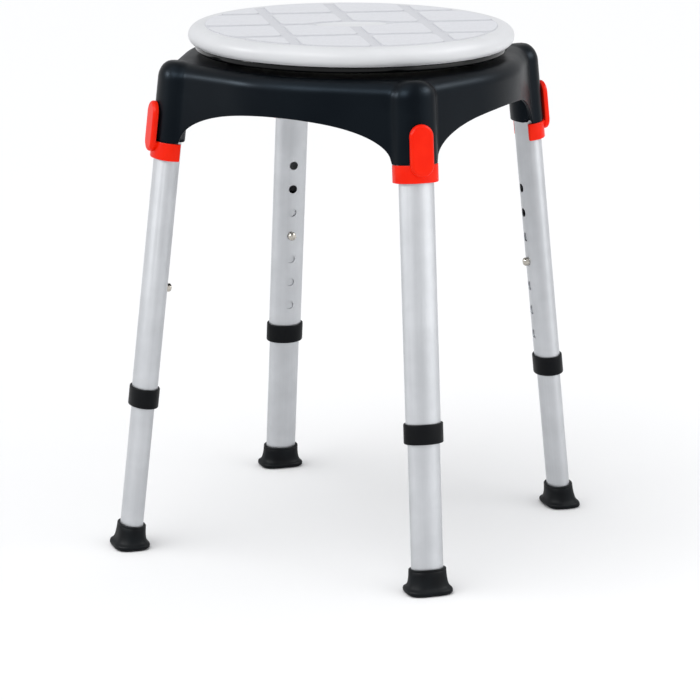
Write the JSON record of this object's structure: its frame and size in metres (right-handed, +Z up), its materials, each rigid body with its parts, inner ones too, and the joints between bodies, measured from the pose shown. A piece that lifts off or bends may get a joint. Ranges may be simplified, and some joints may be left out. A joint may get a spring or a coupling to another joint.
{
  "type": "swivel shower stool",
  "caption": "Round swivel shower stool: white moulded seat on a black frame, leaning oval aluminium legs of adjustable length with orange lock clips and rubber feet.",
  "frame": {"origin": "on the floor under the middle of the seat, at the bottom of the feet", "axes": "+Z up through the seat's pivot; -Y is the front; the legs stand on the diagonals of X and Y"},
  "size_m": [0.3672, 0.3672, 0.5],
  "materials": {
    "seat_plastic": "moulded white plastic, satin",
    "turntable_plastic": "moulded black plastic, gloss",
    "plated_steel": "zinc-plated steel",
    "slide_plastic": "natural acetal, satin",
    "frame_plastic": "moulded black plastic, fine satin grain",
    "leg_alloy": "satin anodised",
    "ring_plastic": "moulded black plastic",
    "clip_plastic": "moulded orange-red plastic, satin",
    "button_steel": "nickel-plated steel",
    "foot_rubber": "moulded black rubber"
  },
  "bodies": {
    "base": {"slide_ring": "slide_plastic", "base_frame": "frame_plastic", "upper_tube_back_right": "leg_alloy", "upper_tube_back_left": "leg_alloy", "upper_tube_front_left": "leg_alloy", "upper_tube_front_right": "leg_alloy", "tube_ring_back_right": "ring_plastic", "tube_ring_back_left": "ring_plastic", "tube_ring_front_left": "ring_plastic", "tube_ring_front_right": "ring_plastic"},
    "seat": {"seat_cover": "seat_plastic", "turntable_plate": "turntable_plastic", "seat_screws": "plated_steel", "pivot_bolt": "plated_steel", "pivot_washer": "plated_steel", "pivot_nut": "plated_steel"},
    "lower_leg_back_right": {"lower_tube_back_right": "leg_alloy", "top_bush_back_right": "ring_plastic", "leaf_spring_back_right": "button_steel", "foot_back_right": "foot_rubber"},
    "button_back_right": {"snap_button_back_right": "button_steel"},
    "clip_back_right": {"lock_clip_back_right": "clip_plastic"},
    "lower_leg_back_left": {"lower_tube_back_left": "leg_alloy", "top_bush_back_left": "ring_plastic", "leaf_spring_back_left": "button_steel", "foot_back_left": "foot_rubber"},
    "button_back_left": {"snap_button_back_left": "button_steel"},
    "clip_back_left": {"lock_clip_back_left": "clip_plastic"},
    "lower_leg_front_left": {"lower_tube_front_left": "leg_alloy", "top_bush_front_left": "ring_plastic", "leaf_spring_front_left": "button_steel", "foot_front_left": "foot_rubber"},
    "button_front_left": {"snap_button_front_left": "button_steel"},
    "clip_front_left": {"lock_clip_front_left": "clip_plastic"},
    "lower_leg_front_right": {"lower_tube_front_right": "leg_alloy", "top_bush_front_right": "ring_plastic", "leaf_spring_front_right": "button_steel", "foot_front_right": "foot_rubber"},
    "button_front_right": {"snap_button_front_right": "button_steel"},
    "clip_front_right": {"lock_clip_front_right": "clip_plastic"}
  },
  "joints": [
    {"name": "seat_swivel", "type": "hinge", "parent": "base", "child": "seat", "pos_m": [0, 0, 0.4755], "axis": [0, 0, 1], "continuous": true},
    {"name": "leg_length_back_right", "type": "slide", "parent": "base", "child": "lower_leg_back_right", "axis": [0.0764, 0.0764, -0.9942], "range_m": [-0.075, 0.075]},
    {"name": "button_press_back_right", "type": "slide", "parent": "lower_leg_back_right", "child": "button_back_right", "axis": [0.703, 0.703, 0.108], "range_m": [0, 0.0068], "stiffness_N_per_m": 800, "springref_m": -0.002, "deforming": ["leaf_spring_back_right"]},
    {"name": "clip_pull_back_right", "type": "slide", "parent": "base", "child": "clip_back_right", "axis": [0.703, 0.703, 0.108], "range_m": [0, 0.01]},
    {"name": "leg_length_back_left", "type": "slide", "parent": "base", "child": "lower_leg_back_left", "axis": [-0.0764, 0.0764, -0.9942], "range_m": [-0.075, 0.075]},
    {"name": "button_press_back_left", "type": "slide", "parent": "lower_leg_back_left", "child": "button_back_left", "axis": [-0.703, 0.703, 0.108], "range_m": [0, 0.0068], "stiffness_N_per_m": 800, "springref_m": -0.002, "deforming": ["leaf_spring_back_left"]},
    {"name": "clip_pull_back_left", "type": "slide", "parent": "base", "child": "clip_back_left", "axis": [-0.703, 0.703, 0.108], "range_m": [0, 0.01]},
    {"name": "leg_length_front_left", "type": "slide", "parent": "base", "child": "lower_leg_front_left", "axis": [-0.0764, -0.0764, -0.9942], "range_m": [-0.075, 0.075]},
    {"name": "button_press_front_left", "type": "slide", "parent": "lower_leg_front_left", "child": "button_front_left", "axis": [-0.703, -0.703, 0.108], "range_m": [0, 0.0068], "stiffness_N_per_m": 800, "springref_m": -0.002, "deforming": ["leaf_spring_front_left"]},
    {"name": "clip_pull_front_left", "type": "slide", "parent": "base", "child": "clip_front_left", "axis": [-0.703, -0.703, 0.108], "range_m": [0, 0.01]},
    {"name": "leg_length_front_right", "type": "slide", "parent": "base", "child": "lower_leg_front_right", "axis": [0.0764, -0.0764, -0.9942], "range_m": [-0.075, 0.075]},
    {"name": "button_press_front_right", "type": "slide", "parent": "lower_leg_front_right", "child": "button_front_right", "axis": [0.703, -0.703, 0.108], "range_m": [0, 0.0068], "stiffness_N_per_m": 800, "springref_m": -0.002, "deforming": ["leaf_spring_front_right"]},
    {"name": "clip_pull_front_right", "type": "slide", "parent": "base", "child": "clip_front_right", "axis": [0.703, -0.703, 0.108], "range_m": [0, 0.01]}
  ]
}
